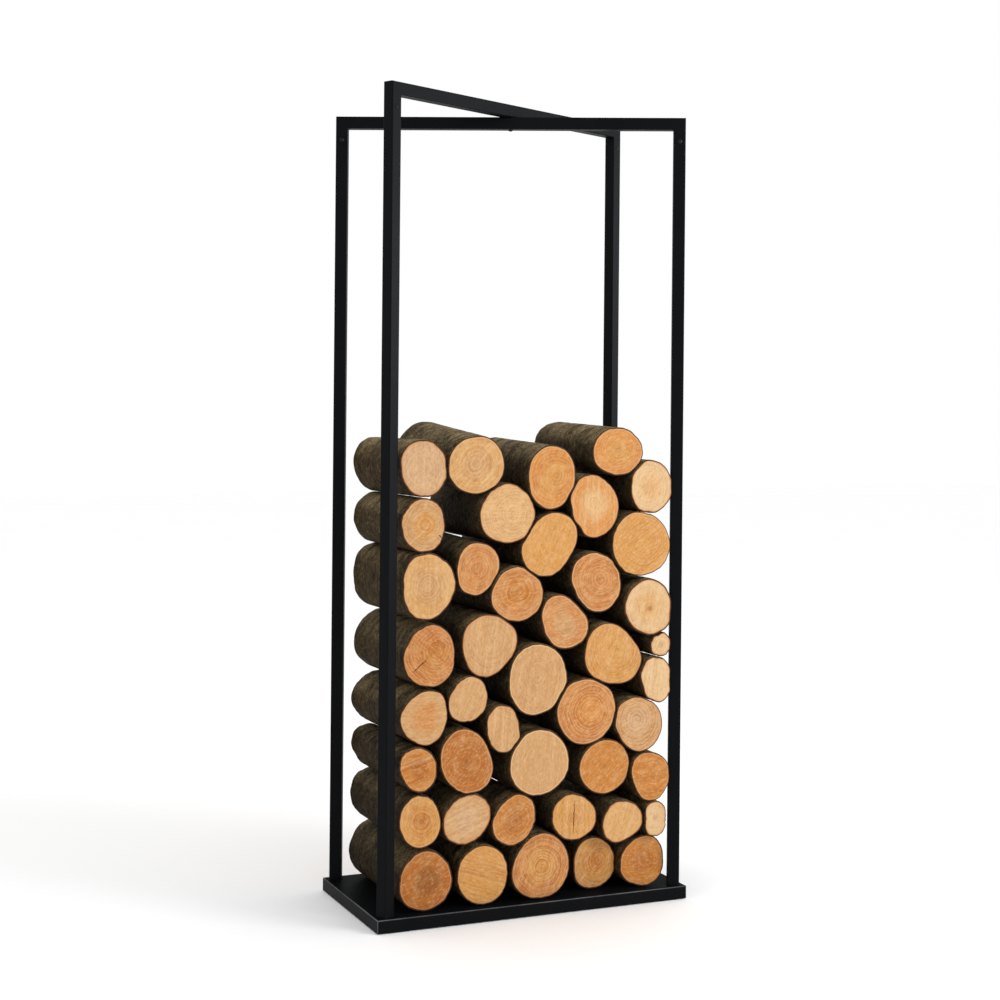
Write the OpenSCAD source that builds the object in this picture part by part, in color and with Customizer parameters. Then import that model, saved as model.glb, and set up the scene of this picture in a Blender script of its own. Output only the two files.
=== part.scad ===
// Tall firewood rack: a folded sheet base, two square-tube hoops that cross
// on the diagonals of the base, and a stack of split-length round logs.
// Millimetres, +Z up. The origin is on the floor under the middle of the base.

/* [Rack] */
// Width of the base, left to right
rack_w = 600; // [600:5:700]
// Depth of the base, front to back
rack_d = 300; // [300:5:340]
// Height from the floor to the top of the upper bar
rack_h = 1450; // [1100:10:1800]

/* [Base] */
// Height of the deck above the floor
deck_z = 24; // [22:1:40]
// Thickness of the folded sheet
sheet = 2; // [1.5:0.5:3]
// Outside radius of the folds and corners
fold_r = 3; // [2.5:0.5:4]
// Width of the lip that is turned in under the skirts
lip_w = 10; // [8:1:10]
// Thickness of the rubber pads
pad_t = 1.5; // [1:0.5:3]
// Length of a rubber pad
pad_l = 40; // [20:5:80]
// Width of a rubber pad
pad_w = 8; // [5:1:8]

/* [Tubes] */
// Side of the square tube
tube = 22; // [18:1:22]
// Wall of the square tube
wall = 1.5; // [1.2:0.1:2]
// Outside corner radius of the tube
tube_r = 2; // [2:0.1:3]
// Distance from a side edge of the base to a post's centre
post_inset_x = 20; // [16:1:20]
// Distance from the front or back edge of the base to a post's centre
post_inset_y = 17; // [16:1:20]

/* [Ribs under the deck] */
// Length of a rib
rib_l = 480; // [300:10:520]
// Distance from the middle of the base to a rib
rib_y = 55; // [40:5:90]
// Width of a rib's web
rib_web = 22; // [16:1:30]
// Height of a rib
rib_h = 12; // [8:1:16]
// Width of each flange that is welded to the deck
rib_flange = 8; // [6:1:12]

/* [Fasteners] */
// Distance from the top of a post to its corner screw
corner_screw_drop = 43; // [36:1:50]
// Length of each arm of a corner spigot, from the outer corner
spigot_arm = 66; // [56:1:80]
// Height of the threaded plug in the foot of a post
plug_h = 22; // [16:1:30]

/* [Logs] */
// Number of flats round a log
log_sides = 36; // [24:2:48]

/* [Hidden] */
// One row for each log, from the top of the stack down, left to right:
// [x of the centre, height of the centre above the deck, mean radius,
//  oval share, direction of the long axis, three-cornered share,
//  direction of one corner, y of the front cut, length, rise to the back]
// Directions and the rise are in degrees, the shares are parts of the radius.
LOGS = [
    // Highest logs
    [-219, 766, 48.0, 0.07, -75, 0.01,  20, -141, 244, 0],
    [-122, 771, 53.5, 0.03,   0, 0.01, -45, -143, 252, 5],
    [  23, 749, 53.0, 0.10, -90, 0.01,  20, -143, 256, 2],
    [ 153, 794, 48.0, 0.08,  -5, 0.01, -30, -145, 250, 1.5],
    [ 221, 730, 47.0, 0.06, -90, 0.02,   0, -147, 254, 0],
    // Eighth course
    [-219, 668, 45.0, 0.07, -85, 0.02,  55, -141, 248, 0],
    [ -61, 685, 54.0, 0.01,   0, 0.03, -30, -141, 247, 0],
    [ 109, 697, 53.0, 0.10, -75, 0.03,  10, -141, 260, 0],
    [ 201, 627, 60.0, 0.02, -30, 0.02, -15, -147, 258, 0],
    [  21, 630, 56.0, 0.13,  50, 0.02,  35, -140, 276, 0],
    // Seventh course
    [-209, 563, 54.5, 0.08,  85, 0.04,   5, -141, 260, 0],
    [-116, 591, 44.5, 0.08,  75, 0.04,  10, -138, 249, 2],
    [ 114, 561, 53.0, 0.08, -60, 0.02,  35, -142, 262, 0],
    [ 218, 512, 51.0, 0.04, -60, 0.03, -50, -147, 246, 0],
    // Sixth course
    [ -41, 543, 50.5, 0.02,  10, 0.02, -25, -141, 251, 0],
    [  52, 490, 48.0, 0.12, -50, 0.05,  -5, -139, 245, 0],
    [-205, 442, 52.0, 0.06,  85, 0.03, -45, -141, 260, 0],
    [ -94, 457, 54.5, 0.03,  65, 0.05,  15, -140, 264, 0],
    [ 147, 428, 57.0, 0.08, -40, 0.05, -20, -142, 255, 0],
    [ 243, 443, 22.5, 0.05,  80, 0.02, -50, -147, 243, 0],
    // Fifth course
    [ 235, 381, 38.0, 0.15, -80, 0.03,  35, -147, 250, 0],
    [   0, 392, 61.5, 0.05,  80, 0.02,   0, -141, 258, 0],
    [-132, 363, 39.5, 0.07,  60, 0.03, -35, -139, 246, 0],
    [-213, 337, 46.5, 0.05,  70, 0.05,  55, -141, 257, 0],
    [ -65, 308, 38.0, 0.15, -80, 0.01, -35, -140, 252, 0],
    // Fourth course
    [  96, 330, 60.0, 0.00, -10, 0.02,  15, -142, 248, 0],
    [ 200, 302, 50.0, 0.06, -50, 0.03,  30, -146, 259, 0],
    [   5, 244, 60.0, 0.01,  50, 0.02, -20, -141, 254, 0],
    // Third course
    [-135, 256, 53.5, 0.11, -65, 0.02, -35, -142, 261, 0],
    [-224, 249, 38.0, 0.08, -65, 0.03,  35, -141, 252, 0],
    [ 134, 228, 51.0, 0.02,  15, 0.01,  55, -141, 250, 0],
    [ 225, 206, 43.0, 0.09, -70, 0.05,  25, -146, 247, 0],
    // Second course
    [-219, 158, 43.0, 0.09, -80, 0.01, -40, -138, 260, 0],
    [-132, 155, 45.5, 0.08,  35, 0.00,  35, -138, 249, 0],
    [ -41, 146, 44.5, 0.09,  55, 0.02, -55, -137, 255, 0],
    [  76, 141, 44.0, 0.04, -25, 0.02,  -5, -136, 251, 0],
    [ 172, 126, 41.0, 0.07,  20, 0.05,  -5, -138, 246, 0],
    [ 237, 126, 28.5, 0.18, -90, 0.01,  40, -143, 253, 0],
    // Bottom course, on the deck
    [-205,  53, 52.0, 0.03,  80, 0.02, -25, -130, 265, 0],
    [ -99,  54, 51.5, 0.04, -80, 0.01,  55, -134, 252, 0],
    [  13,  58, 58.0, 0.03,  65, 0.03, -35, -134, 262, 0],
    [ 129,  48, 46.5, 0.05, -85, 0.03, -10, -112, 240, 0],
    [ 220,  47, 47.5, 0.01,  40, 0.04, -50, -127, 256, 0]
];

half_tube = tube / 2;
bore_side = tube - 2 * wall;
bore_r = tube_r - wall;
upper_top = rack_h;
lower_top = rack_h - tube;
tray_h = deck_z - pad_t;
post_x = rack_w / 2 - post_inset_x;
post_y = rack_d / 2 - post_inset_y;
// Half the length of a hoop, from the middle to a post's centre line
hoop_half = sqrt(post_x * post_x + post_y * post_y);
// Angle of the hoops to the front edge of the base
hoop_angle = atan2(post_y, post_x);

// Small clearance between an insert and the bore of its tube
insert_gap = 0.2;
// M5 corner screws: shank, hole in the wall, tapped hole, button head
corner_shank_r = 2.4;
corner_hole_r = 2.7;
corner_tapped_r = 2.45;
corner_shank_l = 15;
corner_head_r = 4.5;
corner_head_h = 2.4;
corner_socket_r = 1.7;
// M6 bolts and nut
m6_r = 3;
m6_hole_r = 3.3;
m6_tapped_r = 3.05;
m6_hex_r = 5.77;
m6_head_h = 4;
m6_nut_h = 5;
// Depth to which a base bolt enters its plug
m6_grip = 16;
// Crossing screw: button head, thread that shows past the nut
crossing_head_r = 5.2;
crossing_head_h = 3;
crossing_socket_r = 2;
past_nut = 2;
washer_r = 6;
washer_t = 1.6;
// Sheet of the ribs
rib_t = 1.5;
// Pads: distance of their middles from the sides of the base, corner radius
pad_from_side = 40;
pad_corner_r = 2;

// Half the width that the stack keeps to, just inside the posts
stack_half = 264.3;
// Gap between two logs, and under a log that lies on the deck
log_gap = 0.5;
// Logs whose middles are further apart than this never meet
near = 150;
// A line only cuts the directions whose cosine towards it is above this
facing = 0.05;

coat = "#1b1d1f";
zinc = "#9a9da0";
nylon = "#3a3a3c";
rubber = "#222222";
WOOD = ["#e0b184", "#d99a5b", "#e3bd8f", "#cf8f50", "#dca877"];

RACK_NODES = [
    "base_tray", "deck_rib_front", "deck_rib_back", "foot_pads",
    "post_front_left", "post_front_right", "post_back_left", "post_back_right",
    "top_bar_upper", "top_bar_lower", "corner_spigots", "corner_screws",
    "crossing_screw", "crossing_nut", "post_plugs", "base_bolts", "base_washers"
];
function log_name(i) = str("log_", i < 10 ? "0" : "", i);

// ---------- shared shapes ----------

module rounded_rect(w, d, r) {
    square([w - 2 * r, d], center = true);
    square([w, d - 2 * r], center = true);
    for (sx = [-1, 1], sy = [-1, 1])
        translate([sx * (w / 2 - r), sy * (d / 2 - r)]) circle(r = r, $fn = 48);
}

// Rectangle that stands on y = 0, with its two top corners rounded
module top_rounded(w, h, r) {
    translate([-w / 2, 0]) square([w, h - r]);
    translate([-w / 2 + r, 0]) square([w - 2 * r, h]);
    for (sx = [-1, 1]) translate([sx * (w / 2 - r), h - r]) circle(r = r, $fn = 48);
}

// Box on z = 0 with rounded upright corners and rounded top edges
module soft_box(w, d, h, r) {
    intersection() {
        linear_extrude(h) rounded_rect(w, d, r);
        rotate([90, 0, 0]) linear_extrude(d + 2, center = true) top_rounded(w, h, r);
        rotate([90, 0, 90]) linear_extrude(w + 2, center = true) top_rounded(d, h, r);
    }
}

module tube_wall() {
    difference() {
        rounded_rect(tube, tube, tube_r);
        rounded_rect(bore_side, bore_side, bore_r);
    }
}

// The two hoops stand on opposite diagonals: side 1 is the one whose left
// post is in front, side -1 the one whose left post is at the back
module hoop(side) {
    rotate([0, 0, side * hoop_angle]) children();
}

// Repeats its children at the right (1) and left (-1) ends of both hoops,
// with z = 0 at the level of each hoop's top
module at_corners() {
    for (side = [-1, 1], end = [0, 1])
        hoop(side)
            mirror([end, 0, 0])
                translate([hoop_half, 0, side == 1 ? upper_top : lower_top]) children();
}

// Repeats its children at the feet of the four posts, with z = 0 on the floor
module at_feet() {
    for (side = [-1, 1], end = [0, 1])
        hoop(side)
            mirror([end, 0, 0])
                translate([hoop_half, 0, 0]) children();
}

// Half space on one side of the 45 degree mitre through a corner's middle;
// up = 1 is the side of the bar, up = -1 the side of the post
module mitre_side(top, up) {
    reach = 3 * tube;
    translate([hoop_half, 0, top - half_tube])
        rotate([0, -45, 0])
            translate([-reach, -reach, up == 1 ? 0 : -2 * reach])
                cube([2 * reach, 2 * reach, 2 * reach]);
}

// ---------- base ----------

module base_tray() {
    fold_in = max(0.5, fold_r - sheet);
    color(coat)
    difference() {
        translate([0, 0, pad_t]) soft_box(rack_w, rack_d, tray_h, fold_r);
        translate([0, 0, pad_t + sheet])
            soft_box(rack_w - 2 * sheet, rack_d - 2 * sheet, tray_h - 2 * sheet, fold_in);
        translate([-rack_w / 2 + lip_w, -rack_d / 2 + lip_w, 0])
            cube([rack_w - 2 * lip_w, rack_d - 2 * lip_w, pad_t + 2 * sheet]);
        at_feet() translate([0, 0, deck_z - 2 * sheet])
            cylinder(r = m6_hole_r, h = 3 * sheet, $fn = 32);
    }
}

// Hat-shaped stiffener welded to the underside of the deck
module deck_rib(y) {
    color(coat)
    translate([-rib_l / 2, y, deck_z - sheet - rib_h])
        rotate([90, 0, 90])
            linear_extrude(rib_l) {
                translate([-rib_web / 2, 0]) square([rib_web, rib_t]);
                for (s = [-1, 1]) {
                    translate([s * (rib_web - rib_t) / 2 - rib_t / 2, 0]) square([rib_t, rib_h]);
                    translate([s * (rib_web + rib_flange) / 2 - rib_flange / 2, rib_h - rib_t])
                        square([rib_flange, rib_t]);
                }
            }
}

module foot_pads() {
    color(rubber)
    for (sx = [-1, 1], sy = [-1, 1])
        translate([sx * (rack_w / 2 - pad_from_side), sy * (rack_d - lip_w) / 2, 0])
            linear_extrude(pad_t) rounded_rect(pad_l, pad_w, pad_corner_r);
}

// ---------- hoops ----------

// Post at the right-hand end (end = 0) or left-hand end (end = 1) of a hoop
module post(side, end) {
    top = side == 1 ? upper_top : lower_top;
    color(coat)
    hoop(side) mirror([end, 0, 0]) difference() {
        translate([hoop_half, 0, deck_z]) linear_extrude(top - deck_z) tube_wall();
        mitre_side(top, 1);
        translate([hoop_half, 0, top - corner_screw_drop])
            rotate([90, 0, 0]) cylinder(r = corner_hole_r, h = tube, $fn = 32);
    }
}

// Bar of a hoop, with screw holes in its middle through the walls listed
module top_bar(side, hole_z, hole_h) {
    top = side == 1 ? upper_top : lower_top;
    reach = hoop_half + half_tube;
    color(coat)
    hoop(side) difference() {
        translate([-reach, 0, top - half_tube])
            rotate([90, 0, 90]) linear_extrude(2 * reach) tube_wall();
        for (end = [0, 1]) mirror([end, 0, 0]) mitre_side(top, -1);
        translate([0, 0, hole_z]) cylinder(r = m6_hole_r, h = hole_h, $fn = 32);
    }
}

// L-shaped insert in each mitred corner
module corner_spigots() {
    s = bore_side - 2 * insert_gap;
    stop = half_tube - wall - insert_gap;
    color(nylon)
    at_corners() difference() {
        union() {
            translate([-s / 2, -s / 2, -spigot_arm]) cube([s, s, spigot_arm - wall - insert_gap]);
            translate([half_tube - spigot_arm, -s / 2, -half_tube - s / 2])
                cube([spigot_arm - half_tube + stop, s, s]);
        }
        translate([0, 0, -corner_screw_drop])
            rotate([90, 0, 0]) cylinder(r = corner_tapped_r, h = tube, center = true, $fn = 32);
    }
}

// Button head on z = 0, with a hexagon socket, and its shank below
module button_screw(head_r, head_h, shank_r, shank_l, socket_r) {
    // Radius of the ball whose cap makes the head
    ball = (head_r * head_r + head_h * head_h) / (2 * head_h);
    difference() {
        intersection() {
            translate([0, 0, head_h - ball]) sphere(r = ball, $fn = 64);
            cylinder(r = head_r, h = head_h, $fn = 48);
        }
        translate([0, 0, head_h * 0.4]) cylinder(r = socket_r, h = head_h, $fn = 6);
    }
    translate([0, 0, -shank_l]) cylinder(r = shank_r, h = shank_l, $fn = 32);
}

module corner_screws() {
    color(coat)
    at_corners()
        translate([0, -half_tube, -corner_screw_drop])
            rotate([90, 0, 0])
                button_screw(corner_head_r, corner_head_h, corner_shank_r,
                             corner_shank_l, corner_socket_r);
}

// ---------- crossing of the two bars ----------

module crossing_screw() {
    color(coat)
    translate([0, 0, lower_top - tube])
        rotate([180, 0, 0])
            button_screw(crossing_head_r, crossing_head_h, m6_r,
                         tube + wall + m6_nut_h + past_nut, crossing_socket_r);
}

module crossing_nut() {
    color(zinc)
    translate([0, 0, lower_top + wall]) difference() {
        cylinder(r = m6_hex_r, h = m6_nut_h, $fn = 6);
        translate([0, 0, -1]) cylinder(r = m6_tapped_r, h = m6_nut_h + 2, $fn = 32);
    }
}

// ---------- feet of the posts ----------

module post_plugs() {
    color(zinc)
    at_feet() translate([0, 0, deck_z]) difference() {
        linear_extrude(plug_h) rounded_rect(bore_side - insert_gap, bore_side - insert_gap, bore_r);
        translate([0, 0, -1]) cylinder(r = m6_tapped_r, h = plug_h + 2, $fn = 32);
    }
}

module base_washers() {
    color(zinc)
    at_feet() translate([0, 0, deck_z - sheet - washer_t]) difference() {
        cylinder(r = washer_r, h = washer_t, $fn = 48);
        translate([0, 0, -1]) cylinder(r = m6_hole_r, h = washer_t + 2, $fn = 32);
    }
}

module base_bolts() {
    under_washer = deck_z - sheet - washer_t;
    color(zinc)
    at_feet() {
        translate([0, 0, under_washer - m6_head_h]) cylinder(r = m6_hex_r, h = m6_head_h, $fn = 6);
        translate([0, 0, under_washer]) cylinder(r = m6_r, h = sheet + washer_t + m6_grip, $fn = 32);
    }
}

// ---------- logs ----------

// Distance from the middle of a log to its natural outline in the direction a
function natural_r(l, a) =
    l[2] * (1 + l[3] * cos(2 * (a - l[4])) + l[5] * cos(3 * (a - l[6])));

// Line between logs l and m, as seen from l: [direction, distance]. It shares the
// room between them in proportion, so that neither outline crosses it.
function line_between(l, m) =
    let (dx = m[0] - l[0], dz = m[1] - l[1], d = norm([dx, dz]), f = atan2(dz, dx),
         rl = natural_r(l, f), rm = natural_r(m, f + 180))
    [f, (d * d + rl * rl - rm * rm) / (2 * d) - log_gap / 2];

// All the lines that a log keeps behind: both sides, the deck and its neighbours
function lines_of(i) =
    let (l = LOGS[i])
    concat([[0, stack_half - l[0]], [180, stack_half + l[0]], [270, l[1] - log_gap]],
           [for (j = [0:len(LOGS) - 1])
               if (j != i && norm([LOGS[j][0] - l[0], LOGS[j][1] - l[1]]) < near)
                   line_between(l, LOGS[j])]);

// Outline of a log, flattened where it would cross one of its lines
function outline_r(l, lines, a) =
    min(concat([natural_r(l, a)],
               [for (s = lines) if (cos(a - s[0]) > facing) s[1] / cos(a - s[0])]));

module log_piece(i) {
    l = LOGS[i - 1];
    lines = lines_of(i - 1);
    step = 360 / log_sides;
    color(WOOD[i % len(WOOD)])
    translate([l[0], l[7], deck_z + l[1]])
        rotate([90 + l[9], 0, 0])
            translate([0, 0, -l[8]])
                linear_extrude(l[8])
                    polygon([for (k = [0:log_sides - 1])
                        outline_r(l, lines, k * step) * [cos(k * step), sin(k * step)]]);
}

base_tray();
deck_rib(-rib_y);  // deck_rib_front
deck_rib(rib_y);  // deck_rib_back
foot_pads();
post(1, 1);  // post_front_left
post(-1, 0);  // post_front_right
post(-1, 1);  // post_back_left
post(1, 0);  // post_back_right
top_bar(1, lower_top - 1, wall + 2);  // top_bar_upper
top_bar(-1, lower_top - tube - 1, tube + 2);  // top_bar_lower
corner_spigots();
corner_screws();
crossing_screw();
crossing_nut();
post_plugs();
base_bolts();
base_washers();
for (i = [1:len(LOGS)])
    log_piece(i);
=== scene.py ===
import math

import bpy
import numpy as np
from mathutils import Matrix, Vector


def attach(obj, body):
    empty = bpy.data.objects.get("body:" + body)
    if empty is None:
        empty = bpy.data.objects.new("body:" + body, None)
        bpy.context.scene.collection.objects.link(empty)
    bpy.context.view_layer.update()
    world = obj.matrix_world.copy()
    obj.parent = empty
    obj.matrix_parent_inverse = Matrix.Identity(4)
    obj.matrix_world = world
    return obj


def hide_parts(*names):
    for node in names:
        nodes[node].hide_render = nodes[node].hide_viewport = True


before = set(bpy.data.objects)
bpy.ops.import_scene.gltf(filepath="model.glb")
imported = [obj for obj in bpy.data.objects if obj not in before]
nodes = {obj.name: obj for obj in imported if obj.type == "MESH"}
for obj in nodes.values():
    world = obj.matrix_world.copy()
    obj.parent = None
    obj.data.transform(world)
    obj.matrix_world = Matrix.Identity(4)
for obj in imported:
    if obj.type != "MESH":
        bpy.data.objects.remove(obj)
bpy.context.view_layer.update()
logs = sorted(n for n in nodes if n.startswith("log_"))

# ---------------------------------------------------------------- camera

EYE = Vector((-1.3225, -2.9755, 0.8984))
YAW = 0.4137           # radians to the right of +Y
ROLL = 0.0092          # the photograph leans this much
LENS_MM = 63.73        # on a 36 mm sensor
HORIZON_SHIFT = -0.0941


def make_camera():
    level_right = Vector((math.cos(YAW), -math.sin(YAW), 0))
    ahead = Vector((math.sin(YAW), math.cos(YAW), 0))
    up = Vector((0, 0, 1))
    right = level_right * math.cos(ROLL) + up * math.sin(ROLL)
    top = up * math.cos(ROLL) - level_right * math.sin(ROLL)
    data = bpy.data.cameras.new("camera")
    data.sensor_width = 36.0
    data.lens = LENS_MM
    data.shift_y = HORIZON_SHIFT
    camera = bpy.data.objects.new("camera", data)
    turn = Matrix((right, top, -ahead)).transposed().to_4x4()
    camera.matrix_world = Matrix.Translation(EYE) @ turn
    bpy.context.scene.collection.objects.link(camera)
    bpy.context.scene.camera = camera


# ---------------------------------------------------------------- materials

def srgb(r, g, b):
    """Linear colour of an 8-bit display colour."""
    out = []
    for c in (r, g, b):
        c /= 255.0
        out.append(c / 12.92 if c <= 0.04045 else ((c + 0.055) / 1.055) ** 2.4)
    return tuple(out)


# Share of its display colour that wood keeps as albedo, because the studio is this bright
KEEP = (0.775, 0.725, 0.60)


def timber(r, g, b):
    return tuple(c * k for c, k in zip(srgb(r, g, b), KEEP))


class Nodes:
    """Short names for the shader nodes that the materials are made of."""

    def __init__(self, name):
        self.material = bpy.data.materials.new(name)
        self.material.use_nodes = True
        self.tree = self.material.node_tree
        self.tree.nodes.clear()
        out = self.add("ShaderNodeOutputMaterial")
        self.shader = self.add("ShaderNodeBsdfPrincipled")
        self.tree.links.new(self.shader.outputs[0], out.inputs["Surface"])

    def add(self, kind, **settings):
        node = self.tree.nodes.new(kind)
        for key, value in settings.items():
            setattr(node, key, value)
        return node

    def put(self, socket, value):
        if isinstance(value, bpy.types.NodeSocket):
            self.tree.links.new(value, socket)
        elif isinstance(value, tuple) and socket.type == "RGBA":
            socket.default_value = (*value, 1.0)
        else:
            socket.default_value = value

    def math(self, operation, a, b=None, c=None, clamp=False):
        node = self.add("ShaderNodeMath", operation=operation, use_clamp=clamp)
        for socket, value in zip(node.inputs, (a, b, c)):
            if value is not None:
                self.put(socket, value)
        return node.outputs[0]

    def times(self, a, b, clamp=False):
        return self.math("MULTIPLY", a, b, clamp=clamp)

    def linear(self, value, factor, offset):
        """value * factor + offset"""
        return self.math("MULTIPLY_ADD", value, factor, offset)

    def remap(self, value, low, high, to_low=0.0, to_high=1.0):
        node = self.add("ShaderNodeMapRange", interpolation_type="SMOOTHSTEP")
        for socket, v in zip(node.inputs, (value, low, high, to_low, to_high)):
            self.put(socket, v)
        return node.outputs[0]

    def mix(self, share, a, b, blend="MIX"):
        node = self.add("ShaderNodeMix", data_type="RGBA", blend_type=blend)
        self.put(node.inputs["Factor"], share)
        self.put(node.inputs[6], a)
        self.put(node.inputs[7], b)
        return node.outputs[2]

    def attribute(self, name, output="Fac"):
        return self.add("ShaderNodeAttribute", attribute_name=name).outputs[output]

    def place(self):
        return self.add("ShaderNodeTexCoord").outputs["Object"]

    def facing(self):
        """Which way the surface faces: x, y and z of its normal."""
        return self.split(self.add("ShaderNodeNewGeometry").outputs["Normal"])

    def scaled(self, vector, *factors):
        node = self.add("ShaderNodeVectorMath", operation="MULTIPLY")
        self.put(node.inputs[0], vector)
        node.inputs[1].default_value = factors
        return node.outputs[0]

    def shifted(self, vector, offset):
        node = self.add("ShaderNodeVectorMath", operation="ADD")
        self.put(node.inputs[0], vector)
        self.put(node.inputs[1], offset)
        return node.outputs[0]

    def join(self, x, y=0.0, z=0.0):
        node = self.add("ShaderNodeCombineXYZ")
        for socket, value in zip(node.inputs, (x, y, z)):
            self.put(socket, value)
        return node.outputs[0]

    def split(self, vector):
        node = self.add("ShaderNodeSeparateXYZ")
        self.put(node.inputs[0], vector)
        return node.outputs

    def noise(self, vector, scale, detail=2.0, rough=0.5):
        node = self.add("ShaderNodeTexNoise")
        self.put(node.inputs["Vector"], vector)
        node.inputs["Scale"].default_value = scale
        node.inputs["Detail"].default_value = detail
        node.inputs["Roughness"].default_value = rough
        return node.outputs["Fac"]

    def cells(self, vector, scale):
        node = self.add("ShaderNodeTexVoronoi", feature="DISTANCE_TO_EDGE")
        self.put(node.inputs["Vector"], vector)
        node.inputs["Scale"].default_value = scale
        return node.outputs["Distance"]

    def bump(self, height, distance, strength=1.0, before=None):
        node = self.add("ShaderNodeBump")
        self.put(node.inputs["Height"], height)
        node.inputs["Distance"].default_value = distance
        node.inputs["Strength"].default_value = strength
        if before is not None:
            self.put(node.inputs["Normal"], before)
        return node.outputs[0]

    def finish(self, colour, roughness, normal=None, metallic=0.0, specular=0.5):
        self.put(self.shader.inputs["Base Color"], colour)
        self.put(self.shader.inputs["Roughness"], roughness)
        self.shader.inputs["Metallic"].default_value = metallic
        self.shader.inputs["Specular IOR Level"].default_value = specular
        if normal is not None:
            self.put(self.shader.inputs["Normal"], normal)
        return self.material


COAT_BLACK = (0.0030, 0.0033, 0.0038)
COAT_DUST = (0.050, 0.046, 0.040)
COAT_FOLD_HIGHLIGHT = (0.30, 0.30, 0.31)


def powder_coat(name="powder_coat", tone=COAT_BLACK, fold_highlight=0.0, sheen=0.035):
    """Black paint with a fine orange peel. Faces that look up shine less and hold some dust."""
    n = Nodes(name)
    at = n.place()
    peel = n.noise(at, 900.0, 2.0)
    cloud = n.noise(at, 14.0, 4.0, 0.6)
    facing = n.facing()
    up = facing[2]
    dust = n.times(n.remap(up, 0.5, 1.0), n.remap(cloud, 0.42, 0.75))
    grit = n.remap(n.noise(at, 420.0, 3.0, 0.7), 0.62, 0.74)
    dust = n.times(dust, n.linear(grit, 0.7, 0.3))
    colour = n.mix(cloud, tone, tuple(c * 1.7 for c in tone))
    colour = n.mix(n.times(dust, 0.07), colour, COAT_DUST)
    rough = n.math("ADD", n.linear(cloud, 0.14, 0.38), n.times(dust, 0.2))
    scuff = n.remap(n.noise(n.scaled(at, 60, 60, 3), 1.0, 4.0, 0.7), 0.60, 0.80)
    rough = n.math("ADD", rough, n.times(scuff, 0.10), clamp=True)
    if fold_highlight:
        # painted highlight on the folds of the base, paler as if the rounded edges caught the light: there
        # the normal is square to no side
        x, y, z = (n.math("ABSOLUTE", part) for part in facing)
        squarest = n.math("MAXIMUM", x, n.math("MAXIMUM", y, z))
        fold = n.remap(squarest, 0.72, 0.97, 1.0, 0.0)
        fold_highlight_spread = n.linear(n.remap(cloud, 0.40, 0.65), 0.5, 0.5)
        colour = n.mix(n.times(n.times(fold, fold_highlight_spread), fold_highlight), colour, COAT_FOLD_HIGHLIGHT)
    material = n.finish(colour, rough, n.bump(peel, 0.00022, 0.5))
    n.put(n.shader.inputs["Specular IOR Level"], n.remap(up, 0.3, 0.9, sheen, 0.17 * sheen))
    return material


def plated(name, tone, rough):
    n = Nodes(name)
    at = n.place()
    cloud = n.noise(at, 160.0, 4.0, 0.6)
    fine = n.noise(n.scaled(at, 900, 900, 120), 1.0, 2.0)
    dark = tuple(c * 0.6 for c in tone)
    colour = n.mix(cloud, dark, tone)
    return n.finish(colour, n.linear(cloud, 0.2, rough), n.bump(fine, 0.0001, 0.4), metallic=1.0)


def moulded(name, tone, rough, grain, depth):
    n = Nodes(name)
    at = n.place()
    texture = n.cells(at, grain)
    cloud = n.noise(at, 40.0, 4.0)
    colour = n.mix(cloud, tone, tuple(c * 1.6 for c in tone))
    return n.finish(colour, n.linear(cloud, 0.2, rough), n.bump(texture, depth, 0.6))


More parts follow.
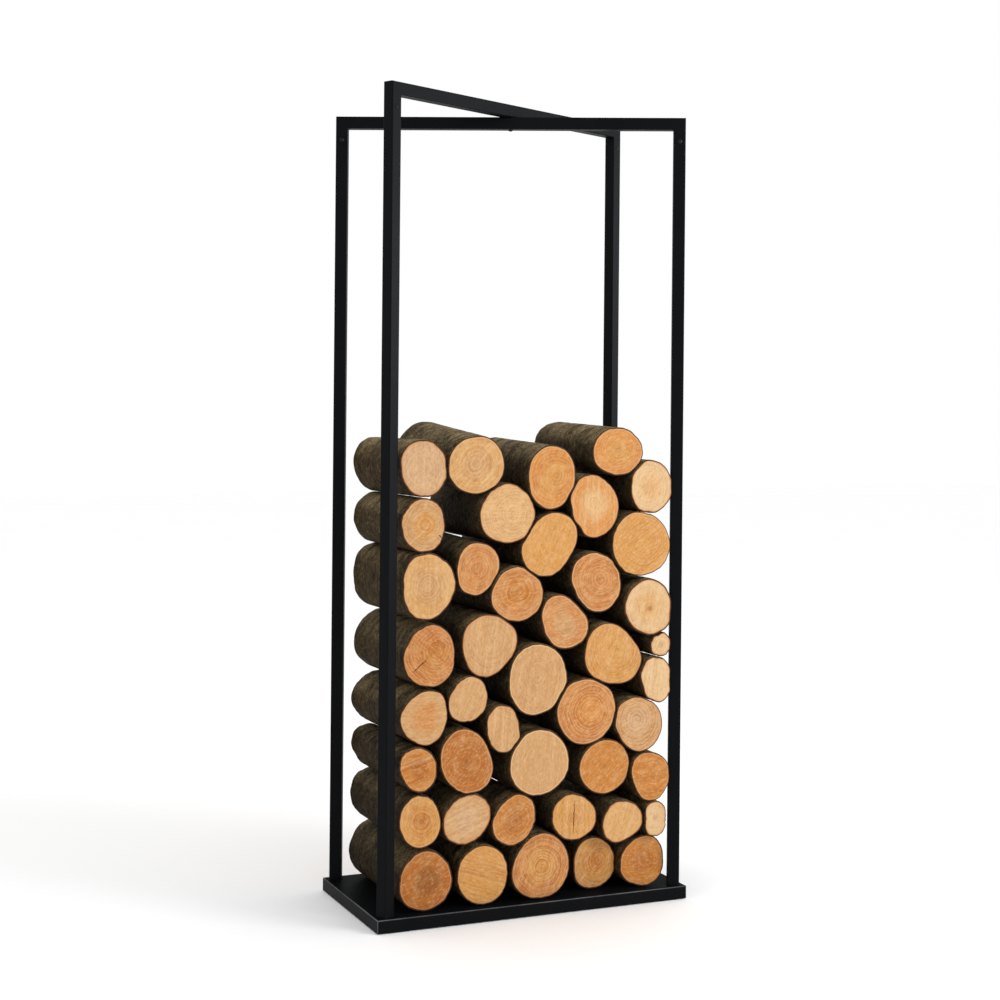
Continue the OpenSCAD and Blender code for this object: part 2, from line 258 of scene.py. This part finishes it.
def sawn_wood():
    """Cut face of a log. The mesh carries where each point lies between pith and bark."""
    n = Nodes("sawn_wood")
    radius = n.attribute("ring")
    share = n.attribute("share")
    edge = n.attribute("edge")
    flat = n.attribute("flat", "Vector")
    heart = n.attribute("heart", "Vector")
    sap = n.attribute("sap", "Vector")
    marks = n.split(n.attribute("marks", "Vector"))
    tints = n.split(n.attribute("tints", "Vector"))
    split_line = n.split(n.attribute("split", "Vector"))
    across = n.split(flat)

    cloud = n.noise(flat, 26.0, 3.0, 0.55)
    patch = n.noise(n.scaled(flat, 1, 1, 3), 55.0, 4.0, 0.6)
    # growth rings
    wander = n.linear(n.noise(flat, 34.0, 3.0), 0.012, radius)
    # good and lean years: the spacing of the rings changes from pith to bark
    years_place = n.join(n.times(wander, 70.0), n.times(across[2], 9.0))
    lean_years = n.noise(years_place, 1.0, 2.0)
    wander = n.linear(lean_years, 0.016, wander)
    year = n.math("FRACT", n.times(wander, 165.0))
    late = n.math("POWER", year, 2.6)
    thin = n.math("POWER", n.math("FRACT", n.times(wander, 410.0)), 2.0)
    thick = n.noise(n.join(n.times(wander, 95.0), across[2]), 1.0, 3.0, 0.7)
    rings = n.linear(late, 0.80, n.times(thin, 0.50))
    rings = n.math("ADD", rings, n.times(n.remap(thick, 0.38, 0.66), 0.50))
    rings = n.times(rings, n.linear(marks[0], 0.95, 0.10))
    # rings show in some places and are rubbed off in others
    worn_off = n.linear(n.remap(n.noise(flat, 42.0, 3.0, 0.6), 0.36, 0.62), 0.75, 0.30)
    rings = n.times(rings, worn_off)
    # pale early wood of each year
    early = n.times(n.remap(year, 0.02, 0.40, 1.0, 0.0), n.linear(marks[0], 0.30, 0.02))
    # bands of the saw, and the fuzz that it leaves
    saw_place = n.join(n.times(across[0], 7.0), n.times(across[1], 210.0), across[2])
    saw = n.noise(saw_place, 1.0, 3.0, 0.65)
    broad_place = n.join(n.times(across[0], 5.0), n.times(across[1], 105.0), across[2])
    broad = n.remap(n.noise(broad_place, 1.0, 3.0, 0.6), 0.40, 0.70)
    fibre = n.noise(flat, 900.0, 2.0, 0.6)
    mottle = n.noise(n.scaled(flat, 130, 300, 1), 1.0, 4.0, 0.7)

    colour = n.mix(n.remap(n.linear(cloud, 0.45, share), 0.50, 0.98), heart, sap)
    colour = n.mix(n.times(n.remap(patch, 0.42, 0.72), 0.35), colour, timber(233, 196, 150))
    streaks = n.times(n.times(broad, marks[2]), 0.75, clamp=True)
    colour = n.mix(streaks, colour, timber(240, 210, 174))
    colour = n.mix(early, colour, timber(246, 216, 174))
    darker = n.mix(1.0, colour, (0.62, 0.42, 0.25), "MULTIPLY")
    colour = n.mix(n.times(rings, 0.85, clamp=True), colour, darker)
    saw_shade = n.times(n.remap(saw, 0.45, 0.75), n.linear(marks[1], 0.75, 0.10))
    colour = n.mix(saw_shade, colour, darker)
    colour = n.mix(n.times(n.remap(mottle, 0.50, 0.70), 0.48), colour, darker)
    light_mottle = n.times(n.remap(mottle, 0.30, 0.48, 1.0, 0.0), 0.36)
    colour = n.mix(light_mottle, colour, timber(244, 216, 180))
    # pith
    pith = n.times(n.remap(radius, 0.0, 0.009, 1.0, 0.0), n.times(tints[1], 0.85))
    colour = n.mix(pith, colour, timber(150, 84, 36))
    # towards the bark: an orange band, a pale cambium line and a dark edge
    rim_width = n.linear(patch, 0.0045, 0.0004)
    orange = n.remap(n.math("DIVIDE", edge, rim_width), 0.15, 1.6, 1.0, 0.0)
    colour = n.mix(n.times(orange, tints[0]), colour, timber(196, 116, 50))
    pale = n.times(n.remap(edge, 0.0006, 0.0016), n.remap(edge, 0.0018, 0.0034, 1.0, 0.0))
    colour = n.mix(n.times(pale, tints[2]), colour, timber(240, 206, 160))
    line = n.remap(edge, 0.0002, 0.0015, 1.0, 0.0)
    colour = n.mix(n.times(line, 0.92), colour, timber(84, 42, 22))
    # one drying split, dark and thin, that fades out at its ends
    wobble = n.linear(n.noise(flat, 120.0, 2.0), 0.004, -0.002)
    off = n.math("ABSOLUTE", n.math("ADD", split_line[0], wobble))
    along = n.remap(n.math("ABSOLUTE", split_line[1]), 0.4, 1.0, 1.0, 0.0)
    gape = n.times(n.remap(off, 0.0003, 0.0012, 1.0, 0.0), n.times(along, split_line[2]))
    colour = n.mix(gape, colour, timber(70, 36, 18))

    height = n.times(saw, n.linear(marks[1], 1.0, 0.35))
    height = n.math("ADD", height, n.times(late, n.times(marks[0], 0.25)))
    height = n.math("SUBTRACT", height, n.times(gape, 3.0))
    normal = n.bump(fibre, 0.0004, 0.5, n.bump(height, 0.0009, 0.6))
    rough = n.linear(patch, 0.2, 0.62)
    return n.finish(colour, rough, normal, specular=0.25)


BARK_FURROW = (0.019, 0.011, 0.004)
BARK_RIDGE = (0.066, 0.043, 0.017)
BARK_FLECK = (0.098, 0.067, 0.028)
BARK_LIT_TOP = (0.300, 0.215, 0.105)
BARK_CRACK = (0.012, 0.009, 0.007)
LICHEN = (0.200, 0.180, 0.075)


def bark():
    """Thin dark bark, wrinkled round the log, with a painted highlight where it faces up: paler there as
    if lit from above, with lichen.
    """
    n = Nodes("bark")
    at = n.place()
    up = n.facing()[2]
    # the wrinkles wander along the log
    bend = n.scaled(n.join(0.0, n.noise(at, 11.0, 3.0, 0.6)), 0, 0.10, 0)
    bent = n.shifted(at, bend)
    wrinkle = n.noise(n.scaled(bent, 30, 120, 30), 1.0, 5.0, 0.70)
    broad = n.noise(n.scaled(at, 14, 30, 14), 1.0, 4.0, 0.6)
    scale = n.cells(n.scaled(at, 90, 150, 90), 1.0)
    speck = n.noise(at, 520.0, 3.0, 0.7)
    flake = n.noise(n.scaled(bent, 210, 330, 210), 1.0, 5.0, 0.8)
    colour = n.mix(n.remap(wrinkle, 0.35, 0.68), BARK_FURROW, BARK_RIDGE)
    colour = n.mix(n.remap(n.noise(at, 95.0, 5.0, 0.75), 0.50, 0.66), colour, BARK_FLECK)
    # painted highlight: where the bark faces up, its broad patches and the wrinkles' ridges are paler, as
    # if lit from above; the lichen specks sit in the same places
    high = n.remap(n.math("ADD", broad, n.times(wrinkle, 0.5)), 0.55, 0.95)
    lit_top = n.times(n.remap(up, 0.10, 0.95), high)
    colour = n.mix(n.times(lit_top, 0.85), colour, BARK_LIT_TOP)
    green = n.times(lit_top, n.remap(speck, 0.50, 0.66))
    colour = n.mix(n.times(green, 0.4), colour, LICHEN)
    crack = n.remap(scale, 0.02, 0.10, 1.0, 0.0)
    colour = n.mix(n.times(crack, 0.55), colour, BARK_CRACK)
    # painted shade: each log's bark value darkens the logs that lie in shade, times the flakes' own tone
    # variation
    shade = n.times(n.attribute("bark_shade"), n.remap(flake, 0.36, 0.64, 0.55, 1.50))
    colour = n.mix(1.0, colour, n.join(shade, shade, shade), "MULTIPLY")
    height = n.math("ADD", n.times(wrinkle, 0.7), n.times(flake, 0.35))
    height = n.math("SUBTRACT", height, n.times(crack, 0.3))
    rough = n.linear(broad, 0.2, 0.68)
    return n.finish(colour, rough, n.bump(height, 0.0022, 0.8), specular=0.08)


def bark_cut():
    """The bark seen end-on in the saw cut."""
    n = Nodes("bark_cut")
    at = n.place()
    grain = n.noise(at, 380.0, 3.0, 0.65)
    cloud = n.noise(at, 60.0, 3.0)
    colour = n.mix(n.remap(grain, 0.35, 0.70), srgb(40, 24, 16), srgb(96, 58, 34))
    colour = n.mix(n.times(cloud, 0.5), colour, srgb(70, 44, 30))
    return n.finish(colour, n.linear(cloud, 0.2, 0.7), n.bump(grain, 0.0008, 0.8), specular=0.2)


def floor_paint():
    n = Nodes("floor_paint")
    cloud = n.noise(n.place(), 3.0, 3.0)
    rough = n.linear(cloud, 0.1, 0.75)
    colour = n.mix(cloud, (0.985, 0.985, 0.985), (1.0, 1.0, 1.0))
    return n.finish(colour, rough, specular=0.1)


# ---------------------------------------------------------------- logs

TONES = {
    "cream": (234, 203, 166), "rose": (216, 178, 147), "pale": (231, 190, 142),
    "straw": (225, 177, 119), "tan": (213, 168, 122), "honey": (221, 163, 90),
    "orange": (223, 154, 80), "salmon": (214, 147, 86), "copper": (206, 135, 56),
    "rust": (188, 113, 36), "umber": (160, 94, 26),
}

# For each log: tone of the heart, tone of the sapwood, where the pith lies (shares of the
# radius), strength of rings, saw marks and pale streaks, direction of the saw marks
# (degrees), strength of the orange rim, the dark pith and the pale cambium line.
LOOKS = [
    ("rose", "rose", 0.10, 0.00, 0.25, 0.15, 0.35, 88, 0.75, 0.1, 0.2),
    ("tan", "straw", 0.00, 0.05, 0.50, 0.25, 0.60, 50, 0.45, 0.2, 0.5),
    ("honey", "orange", 0.15, 0.05, 0.50, 0.10, 0.10, 70, 0.35, 0.1, 0.5),
    ("honey", "orange", 0.00, 0.10, 0.45, 0.15, 0.15, 20, 0.35, 0.2, 0.4),
    ("pale", "cream", -0.15, 0.00, 0.30, 0.10, 0.50, 60, 0.80, 0.2, 0.3),
    ("honey", "tan", 0.10, 0.00, 0.45, 0.20, 0.45, 40, 0.60, 0.1, 0.3),
    ("pale", "pale", 0.20, 0.00, 0.55, 0.10, 0.35, 0, 0.85, 0.0, 0.3),
    ("pale", "orange", 0.00, 0.10, 0.20, 0.20, 0.60, 88, 0.55, 0.0, 0.3),
    ("honey", "honey", 0.10, 0.10, 0.35, 0.55, 0.10, 35, 0.20, 0.0, 0.3),
    ("honey", "honey", 0.10, 0.00, 0.15, 0.20, 0.10, 60, 0.15, 0.0, 0.3),
    ("tan", "straw", 0.00, 0.00, 0.50, 0.10, 0.50, 88, 0.55, 0.0, 0.4),
    ("salmon", "salmon", 0.00, 0.00, 0.60, 0.15, 0.15, 80, 0.35, 0.2, 0.5),
    ("salmon", "salmon", 0.15, 0.10, 0.75, 0.10, 0.10, 20, 0.35, 0.2, 0.6),
    ("straw", "cream", 0.05, -0.05, 0.30, 0.10, 0.60, 75, 0.80, 0.7, 0.2),
    ("copper", "salmon", 0.00, 0.10, 0.55, 0.30, 0.10, 15, 0.35, 0.3, 0.4),
    ("tan", "salmon", 0.05, -0.10, 0.40, 0.35, 0.30, 10, 0.25, 0.1, 0.5),
    ("copper", "salmon", 0.25, 0.20, 0.75, 0.55, 0.10, -40, 0.35, 0.3, 0.2),
    ("tan", "tan", 0.10, 0.10, 0.30, 0.20, 0.55, 82, 0.80, 0.1, 0.2),
    ("honey", "honey", 0.15, 0.15, 0.55, 0.15, 0.35, 75, 0.40, 0.2, 0.2),
    ("cream", "cream", 0.00, 0.00, 0.30, 0.10, 0.20, 60, 0.60, 0.2, 0.2),
    ("cream", "cream", 0.10, 0.00, 0.20, 0.30, 0.70, 80, 0.30, 0.0, 0.2),
    ("tan", "tan", 0.00, 0.05, 0.35, 0.20, 0.25, 80, 0.20, 0.0, 0.9),
    ("tan", "tan", 0.00, 0.00, 0.10, 0.15, 0.20, 60, 0.30, 0.0, 0.3),
    ("salmon", "tan", 0.10, 0.00, 0.15, 0.25, 0.20, 0, 0.30, 0.0, 0.2),
    ("tan", "tan", 0.10, 0.00, 0.15, 0.30, 0.60, 86, 0.40, 0.0, 0.2),
    ("orange", "salmon", 0.15, 0.00, 0.75, 0.30, 0.10, 35, 0.30, 0.1, 0.5),
    ("rose", "tan", -0.10, 0.15, 0.65, 0.15, 0.45, 20, 0.80, 0.1, 0.3),
    ("tan", "tan", 0.00, 0.00, 0.12, 0.20, 0.30, 85, 0.20, 0.0, 0.9),
    ("rust", "rust", 0.00, 0.00, 0.30, 0.10, 0.05, 40, 0.35, 0.9, 0.4),
    ("rust", "copper", 0.00, 0.00, 0.20, 0.75, 0.30, 15, 0.30, 0.1, 0.2),
    ("copper", "copper", 0.00, 0.00, 0.08, 0.25, 0.10, 45, 0.20, 0.5, 0.3),
    ("copper", "copper", 0.10, 0.00, 0.15, 0.60, 0.10, 5, 0.30, 0.1, 0.3),
    ("copper", "honey", 0.05, 0.00, 0.55, 0.15, 0.20, 80, 0.35, 0.6, 0.3),
    ("rose", "tan", 0.00, 0.00, 0.15, 0.15, 0.45, 20, 0.75, 0.0, 0.1),
    ("rust", "copper", 0.10, 0.00, 0.35, 0.25, 0.20, 30, 0.20, 0.2, 0.3),
    ("honey", "honey", 0.00, 0.00, 0.30, 0.30, 0.50, 88, 0.55, 0.2, 0.3),
    ("straw", "straw", 0.10, 0.00, 0.20, 0.15, 0.45, 70, 0.60, 0.0, 0.2),
    ("cream", "cream", 0.00, 0.10, 0.30, 0.10, 0.40, 80, 0.70, 0.3, 0.2),
    ("umber", "rust", 0.10, 0.05, 0.12, 0.35, 0.05, 30, 0.25, 0.3, 0.3),
    ("honey", "honey", 0.00, 0.00, 0.20, 0.75, 0.20, -20, 0.30, 0.1, 0.2),
    ("honey", "salmon", 0.05, 0.00, 0.80, 0.35, 0.20, 75, 0.25, 0.1, 0.3),
    ("copper", "honey", 0.20, 0.10, 0.60, 0.20, 0.25, 50, 0.30, 0.1, 0.3),
    ("rust", "copper", 0.05, 0.05, 0.25, 0.45, 0.05, 0, 0.35, 0.6, 0.3),
]
# Drying splits: log number -> (distance of its middle from the log's, its direction,
# and the half length, both distances as shares of the radius)
SPLITS = {6: (0.86, -32, 0.16), 17: (0.45, -140, 0.40), 36: (0.0, 88, 0.80)}

# Painted shade on the bark of logs that lie in shade: log number -> share of the usual tone
SHADED_BARK = {
    9: 0.80, 13: 0.80, 17: 0.85, 22: 0.80, 24: 0.75, 26: 0.80,
    30: 0.60, 31: 0.80, 33: 0.50, 37: 0.80, 39: 0.55,
}

AROUND = 132           # points round a log
ALONG = 58             # rings of points along its bark
FACE_RINGS = 15        # rings of points on a cut face
OUTLINE_GAP = 0.00015  # taken off the outline, which bulges between the CAD's corners
DIP = 0.00040          # how far each part of the bark's relief goes in, for a spread of 1
BARK_ENDS = 0.004      # the bark's first and last ring are this far from the cuts
CUT_LIP = 0.0006       # the cut through the bark ends this far inside the bark's surface
CUT_STEP = 0.0003      # width of the narrow bands beside that cut
CUT_LEAN = 0.00099     # mean depth of a leaning cut, before each cut's own share of it
DEEPEST_DIP = 0.0035   # the bark's relief goes in no further than this
THIN_BARK = 0.0011     # least thickness of bark
BARK_SPREAD = 0.0010   # how much thicker it can be
OTHER_END = 0.7        # moves the grain of one end away from that of the other
NEXT_LOG = 3.1         # moves the grain of each log away from that of the last


def outline(name):
    """A log's own frame (origin on its front cut, across, along, up), length and outline.

    The outline is rounded, so between the CAD's corners it can lie about 0.1 mm outside.
    """
    corners = np.unique(np.round([v.co[:] for v in nodes[name].data.vertices], 6), axis=0)
    corners = corners[np.argsort(corners[:, 1])]
    half = len(corners) // 2
    front, back = corners[:half], corners[half:]
    origin = front.mean(0)
    axis = back.mean(0) - origin
    length = float(np.linalg.norm(axis))
    axis /= length
    across = np.array([1.0, 0.0, 0.0])
    up = np.cross(across, axis)
    offset = np.stack([(front - origin) @ across, (front - origin) @ up], 1)
    angle = np.arctan2(offset[:, 1], offset[:, 0])
    order = np.argsort(angle)
    around = np.linspace(0, math.tau, AROUND, endpoint=False)
    radius = np.interp(around, angle[order], np.hypot(*offset[order].T), period=math.tau)
    for _ in range(3):      # takes the flats' corners off
        radius = 0.25 * np.roll(radius, 1) + 0.5 * radius + 0.25 * np.roll(radius, -1)
    return (origin, across, axis, up), length, radius - OUTLINE_GAP


def waves(rng, count, round_range, along_range):
    """Random waves that close up round the log: rows of (round, along, phase, size)."""
    rows = []
    for _ in range(count):
        k = rng.integers(round_range[0], round_range[1] + 1)
        m = rng.uniform(*along_range) * rng.choice((-1, 1))
        rows.append((k, m, rng.uniform(0, math.tau), rng.uniform(0.5, 1.0)))
    return rows


def relief(rows, angle, y):
    """Sum of those waves round the ring at y, scaled to a spread of about 1."""
    total = sum(a * np.cos(k * angle + m * y + p) for k, m, p, a in rows)
    return total / math.sqrt(sum(a * a for *_, a in rows) / 2 + 1e-9)


def log_rings(rng, pith, length, radius):
    """Rings of points from the front pith, over the bark, to the back pith.

    Gives the rings' points (across, along, up), the values of each point (distance from
    the pith, share of the way out, distance from the wood's rim), and each ring's kind.
    """
    mean_radius = radius.mean()
    angle = np.linspace(0, math.tau, AROUND, endpoint=False)
    outward = np.stack([np.cos(angle), np.sin(angle)], 1)
    lumps = waves(rng, 9, (4, 9), (0.0, 14.0))
    ridges = waves(rng, 16, (0, 3), (150.0, 420.0))
    knobs = waves(rng, 16, (5, 26), (15.0, 260.0))
    thick = THIN_BARK + BARK_SPREAD * rng.random()
    lean_size = rng.uniform(0.3, 1.0, 2)
    lean_direction = rng.uniform(0, math.tau, 2)
    points, values, kinds = [], [], []

    def bark_radius(y):
        """Radius of the bark round the ring at y. Relief only goes inwards from the outline."""
        low = relief(lumps, angle, y)
        fine = 0.6 * relief(ridges, angle, y) + 0.5 * relief(knobs, angle, y)
        dip = DIP * np.clip(low + 0.8, 0, None) + DIP * np.clip(fine + 0.5, 0, None)
        return radius - np.clip(dip, 0.0, DEEPEST_DIP)

    def add_ring(kind, y, reach, share=None):
        """Adds a ring at that reach, or at a share of the way there from the pith."""
        rim = reach[:, None] * outward
        place = rim if share is None else pith + share * (rim - pith)
        share = 1.0 if share is None else share
        to_rim = np.hypot(*(rim - pith).T)
        points.append(np.column_stack([place[:, 0], np.broadcast_to(y, angle.shape), place[:, 1]]))
        values.append(np.column_stack([to_rim * share, np.full_like(angle, share), to_rim * (1 - share)]))
        kinds.append(kind)

    def cut_end(end, y0, into):
        """One end's rings, from the pith outwards. The saw cut leans a little.

        On a log that isn't round, its outermost points can lie 0.1 mm past the CAD face.
        """
        outer = bark_radius(y0)
        lip = outer - CUT_LIP
        wood = outer - thick

        def level(reach, inset=0.0):
            """Where the leaning cut lies along the log, or a small inset behind it."""
            lean = reach / mean_radius * np.cos(angle - lean_direction[end])
            return y0 + into * CUT_LEAN * lean_size[end] * (1 + lean) + into * inset

        shares = np.linspace(0.0, 1.0, FACE_RINGS + 1)[1:] ** 0.9
        face = [("wood", level(share * wood), wood, share) for share in shares]
        face.append(("cut", level(wood, 0.0003), wood + CUT_STEP))
        face.append(("cut", level(wood, 0.0001), 0.5 * (wood + lip)))
        face.append(("cut", level(lip), lip))
        face.append(("bark", level(outer, 0.0004), outer - CUT_STEP))
        face.append(("bark", level(outer, 0.0013), outer))
        return face

    for row in cut_end(0, 0.0, 1):
        add_ring(*row)
    for y in np.linspace(BARK_ENDS, length - BARK_ENDS, ALONG):
        add_ring("bark", y, bark_radius(y))
    for row in reversed(cut_end(1, length, -1)):
        add_ring(*row)
    return points, values, kinds


def log_faces(kinds):
    """Quads between the rings and a fan round each pith, and the material slot of each."""
    count = len(kinds)
    grid = np.arange(count * AROUND).reshape(count, AROUND)
    here, following = grid[:-1], grid[1:]
    quads = np.stack([following, np.roll(following, -1, 1), np.roll(here, -1, 1), here], -1).reshape(-1, 4)
    front_pith = np.full(AROUND, grid.size)
    front = np.stack([grid[0], np.roll(grid[0], -1), front_pith], 1)
    back = np.stack([np.roll(grid[-1], -1), grid[-1], front_pith + 1], 1)
    band = [slot_of(kinds[k], kinds[k + 1]) for k in range(count - 1)]
    slots = np.concatenate([np.repeat(band, AROUND), np.zeros(2 * AROUND, int)])
    return quads.tolist() + front.tolist() + back.tolist(), slots.astype(np.int32)


def grain_place(face_points, along, turn, index, length):
    """Where the wood's texture is read: turned with the saw marks, apart for each end and log."""
    x, z = face_points.T
    depth = np.full(len(along), NEXT_LOG * index) + np.sign(along - length / 2) * OTHER_END
    across_marks = z * math.cos(turn) - x * math.sin(turn)
    return np.column_stack([x * math.cos(turn) + z * math.sin(turn), across_marks, depth])


def split_place(face_points, number, mean_radius):
    """Distance from the drying split, place along it (1 at its ends), and 1 if there is one."""
    if number not in SPLITS:
        return np.zeros((len(face_points), 3))
    away, direction, half = SPLITS[number]
    turn = math.radians(direction)
    x, z = (face_points / mean_radius).T
    along = x * math.cos(turn) + z * math.sin(turn) - away
    side = z * math.cos(turn) - x * math.sin(turn)
    return np.column_stack([side * mean_radius, along / half, np.ones(len(x))])


def store(mesh, attributes):
    """Puts the values of the points on the mesh, one number or three for each point."""
    for key, values in attributes.items():
        values = values.astype(np.float32)
        if values.ndim == 1:
            mesh.attributes.new(key, "FLOAT", "POINT").data.foreach_set("value", values)
        else:
            mesh.attributes.new(key, "FLOAT_VECTOR", "POINT").data.foreach_set("vector", values.ravel())


def build_log(index, name, materials):
    heart, sap, pith_across, pith_up, *strengths = LOOKS[index]
    marks, turn, tints = strengths[:3], math.radians(strengths[3]), strengths[4:]
    (origin, across, axis, up), length, radius = outline(name)
    mean_radius = radius.mean()
    pith = mean_radius * np.array((pith_across, pith_up))
    rng = np.random.default_rng(100 + index)
    points, values, kinds = log_rings(rng, pith, length, radius)

    # one more point at each pith closes the two cut faces
    piths = [[pith[0], points[end][:, 1].mean(), pith[1]] for end in (0, -1)]
    to_bark = values[0][:, 2].mean() + values[0][:, 0].mean()
    points = np.vstack([*points, *piths])
    values = np.vstack([*values, [0, 0, to_bark], [0, 0, to_bark]])
    faces, slots = log_faces(kinds)

    placed = origin + points[:, :1] * across + points[:, 1:2] * axis + points[:, 2:] * up
    mesh = bpy.data.meshes.new(name + "_mesh")
    mesh.from_pydata(placed.tolist(), [], faces)
    mesh.polygons.foreach_set("material_index", slots)
    mesh.polygons.foreach_set("use_smooth", np.ones(len(faces), bool))
    for material in materials:
        mesh.materials.append(material)

    face_points = points[:, [0, 2]]
    everywhere = np.ones((len(points), 1))
    store(mesh, {
        "ring": values[:, 0],
        "share": values[:, 1],
        "edge": values[:, 2],
        # painted shade: the bark of some logs is darkened as if they lay in shade
        "bark_shade": everywhere[:, 0] * SHADED_BARK.get(index + 1, 1.0),
        "flat": grain_place(face_points - pith, points[:, 1], turn, index, length),
        "heart": everywhere * timber(*TONES[heart]),
        "sap": everywhere * timber(*TONES[sap]),
        "marks": everywhere * marks,
        "tints": everywhere * tints,
        "split": split_place(face_points, index + 1, mean_radius),
    })
    mesh.validate()
    mesh.update()
    obj = bpy.data.objects.new("wood_" + name, mesh)
    bpy.context.scene.collection.objects.link(obj)
    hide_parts(name)
    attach(obj, name)


def slot_of(a, b):
    """Material of the band between two rings: 0 wood, 1 bark, 2 cut bark."""
    if a == b == "wood":
        return 0
    if "wood" in (a, b) or "cut" in (a, b):
        return 2
    return 1


# ---------------------------------------------------------------- studio

FLOOR_REACH = 14.0     # from the middle to the floor's edges
FLOOR_DROP = 0.0002    # keeps the floor clear of the rubber pads


def area_light(name, place, aim, size, power, tint=(1, 1, 1)):
    data = bpy.data.lights.new(name, "AREA")
    data.shape = "RECTANGLE"
    data.size, data.size_y = size
    data.energy = power
    data.color = tint
    light = bpy.data.objects.new(name, data)
    light.location = place
    light.rotation_euler = (Vector(aim) - Vector(place)).to_track_quat("-Z", "Y").to_euler()
    bpy.context.scene.collection.objects.link(light)
    return light


def make_studio():
    world = bpy.data.worlds.new("studio")
    world.use_nodes = True
    background = world.node_tree.nodes["Background"]
    background.inputs["Color"].default_value = (1.0, 1.0, 1.0, 1.0)
    background.inputs["Strength"].default_value = 1.0
    bpy.context.scene.world = world
    bpy.context.scene.view_settings.view_transform = "Standard"
    area_light("key", (2.3, -2.6, 2.3), (0, 0, 0.6), (1.4, 1.4), 60.0)
    # gives reflections only, meant for the tubes' sides that are turned to the right
    cool = (0.86, 0.88, 1.0)
    strip = area_light("strip", (2.5, -0.92, 1.25), (-0.28, -0.13, 1.1), (0.8, 1.0), 52.0, cool)
    strip.visible_diffuse = False
    mesh = bpy.data.meshes.new("floor")
    corners = [(x * FLOOR_REACH, y * FLOOR_REACH, 0) for x, y in ((-1, -1), (1, -1), (1, 1), (-1, 1))]
    mesh.from_pydata(corners, [], [(0, 1, 2, 3)])
    floor = bpy.data.objects.new("floor", mesh)
    floor.location.z = -FLOOR_DROP
    mesh.materials.append(floor_paint())
    bpy.context.scene.collection.objects.link(floor)


# ---------------------------------------------------------------- assembly

make_camera()
make_studio()

coat = powder_coat()
# the base's coat carries a painted highlight on its rounded folds
base_coat = powder_coat("powder_coat_base", fold_highlight=0.45)
screws = powder_coat("black_screws", (0.004, 0.004, 0.0045), sheen=0.18)
zinc = plated("zinc", (0.55, 0.56, 0.57), 0.28)
nylon = moulded("nylon", (0.035, 0.035, 0.037), 0.45, 500.0, 0.0001)
rubber = moulded("rubber", (0.016, 0.016, 0.016), 0.70, 350.0, 0.0003)
finish_of = {
    "base_tray": base_coat,
    "foot_pads": rubber,
    "corner_spigots": nylon,
    "corner_screws": screws,
    "crossing_screw": screws,
    "crossing_nut": zinc,
    "post_plugs": zinc,
    "base_bolts": zinc,
    "base_washers": zinc,
}
for name, obj in nodes.items():
    if name in logs:
        continue
    obj.data.materials.clear()
    obj.data.materials.append(finish_of.get(name, coat))

log_materials = [sawn_wood(), bark(), bark_cut()]
for index, name in enumerate(logs):
    build_log(index, name, log_materials)
